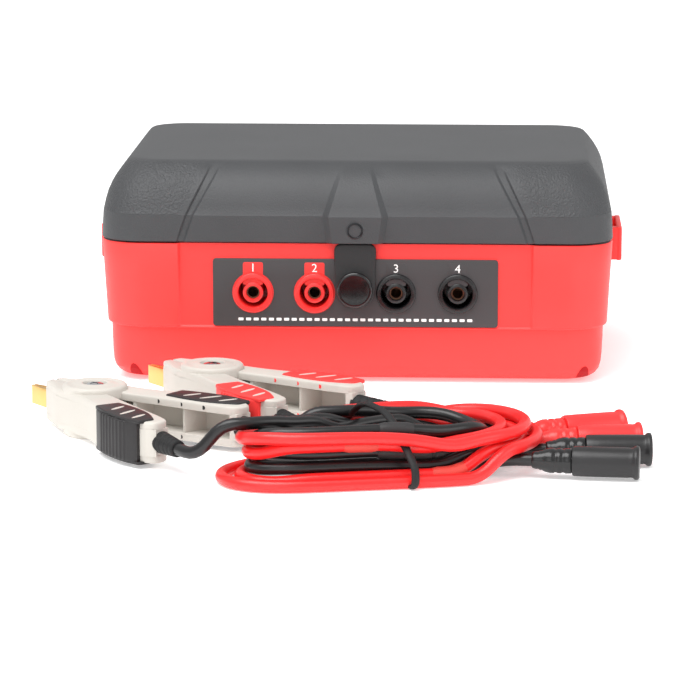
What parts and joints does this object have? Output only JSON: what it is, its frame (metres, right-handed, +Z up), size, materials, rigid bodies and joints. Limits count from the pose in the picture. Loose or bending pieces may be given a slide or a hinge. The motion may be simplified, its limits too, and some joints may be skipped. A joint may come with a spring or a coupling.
{
  "type": "four-terminal insulation and low-resistance tester",
  "caption": "Portable electrical tester in a hinged two-part case with shrouded front terminals, a push latch, and a tied set of test leads with two-pole clips.",
  "frame": {"origin": "on the resting surface, under the middle of the case measured over its latch and hinges", "axes": "+Z up, -Y towards the front with the terminals, +X to the right seen from the front"},
  "size_m": [0.2303, 0.3355, 0.087],
  "materials": {
    "red_shell": "moulded ABS with a fine satin grain",
    "grey_lid": "moulded ABS, smooth with coarse textured corners",
    "black_rubber": "soft matt rubber",
    "steel": "plated steel",
    "black_nylon": "fine matt texture",
    "gloss_black": "gloss moulded",
    "dark_metal": "black coated",
    "plate_grey": "satin printed plate",
    "red_socket": "satin insulator",
    "black_socket": "satin insulator",
    "gold_contact": "gold plated",
    "panel_grey": "matt moulded",
    "clear_window": "clear acrylic",
    "lcd_face": "reflective display",
    "red_key": "silicone key",
    "grey_key": "silicone key",
    "circuit_board": "solder mask",
    "cell_jacket": "shrink sleeve",
    "clip_grey": "warm grey moulded ABS",
    "gold_jaw": "gold plated, serrated",
    "red_grip": "soft overmould",
    "black_grip": "soft overmould",
    "lead_red": "soft silicone sheath",
    "lead_black": "soft silicone sheath",
    "red_cap": "soft plastic cap",
    "black_cap": "soft plastic cap",
    "red_sleeve": "shrink sleeve",
    "joint_black": "matt overmould"
  },
  "bodies": {
    "base": {"base_shell": "red_shell", "lid_gasket": "black_rubber", "hinge_pins": "steel", "strap_lugs": "red_shell", "terminal_plate": "plate_grey", "red_sockets": "red_socket", "black_sockets": "black_socket", "socket_contacts": "gold_contact", "socket_nuts": "steel", "front_panel": "panel_grey", "display_window": "clear_window", "display_module": "lcd_face", "main_board": "circuit_board", "buzzer": "black_nylon", "power_module": "black_nylon", "battery_tray": "panel_grey", "battery_cells": "cell_jacket", "battery_door": "panel_grey", "case_screws": "steel", "feet": "black_rubber"},
    "lid": {"lid_shell": "grey_lid", "latch_tongue": "black_nylon", "latch_rivet": "dark_metal"},
    "latch_knob": {"latch_button": "gloss_black"},
    "lead_set": {"red_clip_body": "clip_grey", "red_fixed_jaw": "gold_jaw", "red_fixed_grip": "red_grip", "black_clip_body": "clip_grey", "black_fixed_jaw": "gold_jaw", "black_fixed_grip": "black_grip", "fixed_boots": "lead_black", "pivot_screws": "steel", "clip_springs": "steel", "red_plugs": "red_socket", "black_plugs": "black_socket", "red_caps": "red_cap", "black_caps": "black_cap", "plug_pins": "steel", "lead_tie": "black_nylon", "marker_sleeves": "red_sleeve", "inline_joints": "joint_black", "lead_hank": "lead_red", "lead_tube_1": "lead_red", "lead_tube_2": "lead_red", "lead_tube_3": "lead_black", "lead_tube_4": "lead_black"},
    "red_arm": {"red_clip_arm": "clip_grey", "red_moving_jaw": "gold_jaw", "red_moving_grip": "red_grip", "red_moving_boot": "lead_black"},
    "black_arm": {"black_clip_arm": "clip_grey", "black_moving_jaw": "gold_jaw", "black_moving_grip": "black_grip", "black_moving_boot": "lead_black"},
    "power_key": {"power_key": "red_key"},
    "range_key": {"range_key": "grey_key"},
    "hold_key": {"hold_key": "grey_key"},
    "light_key": {"light_key": "grey_key"},
    "test_button": {"test_button": "red_key"}
  },
  "joints": [
    {"name": "lid_hinge", "type": "hinge", "parent": "base", "child": "lid", "pos_m": [0, 0.0745, 0.0563], "axis": [-1, 0, 0], "range_deg": [0, 105]},
    {"name": "latch_press", "type": "slide", "parent": "lid", "child": "latch_knob", "axis": [0, 1, 0], "range_m": [0, 0.0013], "stiffness_N_per_m": 120, "springref_m": -0.002},
    {"name": "power_key_press", "type": "slide", "parent": "base", "child": "power_key", "axis": [0, 0, -1], "range_m": [0, 0.0015], "stiffness_N_per_m": 90, "springref_m": -0.003},
    {"name": "range_key_press", "type": "slide", "parent": "base", "child": "range_key", "axis": [0, 0, -1], "range_m": [0, 0.0015], "stiffness_N_per_m": 90, "springref_m": -0.003},
    {"name": "hold_key_press", "type": "slide", "parent": "base", "child": "hold_key", "axis": [0, 0, -1], "range_m": [0, 0.0015], "stiffness_N_per_m": 90, "springref_m": -0.003},
    {"name": "light_key_press", "type": "slide", "parent": "base", "child": "light_key", "axis": [0, 0, -1], "range_m": [0, 0.0015], "stiffness_N_per_m": 90, "springref_m": -0.003},
    {"name": "test_button_press", "type": "slide", "parent": "base", "child": "test_button", "axis": [0, 0, -1], "range_m": [0, 0.0015], "stiffness_N_per_m": 90, "springref_m": -0.003},
    {"name": "lead_set_lift", "type": "slide", "parent": "base", "child": "lead_set", "axis": [0, 0, 1], "range_m": [0, 0.12]},
    {"name": "red_clip_squeeze", "type": "hinge", "parent": "lead_set", "child": "red_arm", "pos_m": [-0.052, -0.126, 0.0095], "axis": [0, 0, 1], "range_deg": [0, 14], "stiffness_Nm_per_rad": 0.3, "springref_deg": -20.05},
    {"name": "black_clip_squeeze", "type": "hinge", "parent": "lead_set", "child": "black_arm", "pos_m": [-0.092, -0.166, 0.0095], "axis": [0, 0, 1], "range_deg": [0, 14], "stiffness_Nm_per_rad": 0.3, "springref_deg": -20.05}
  ]
}
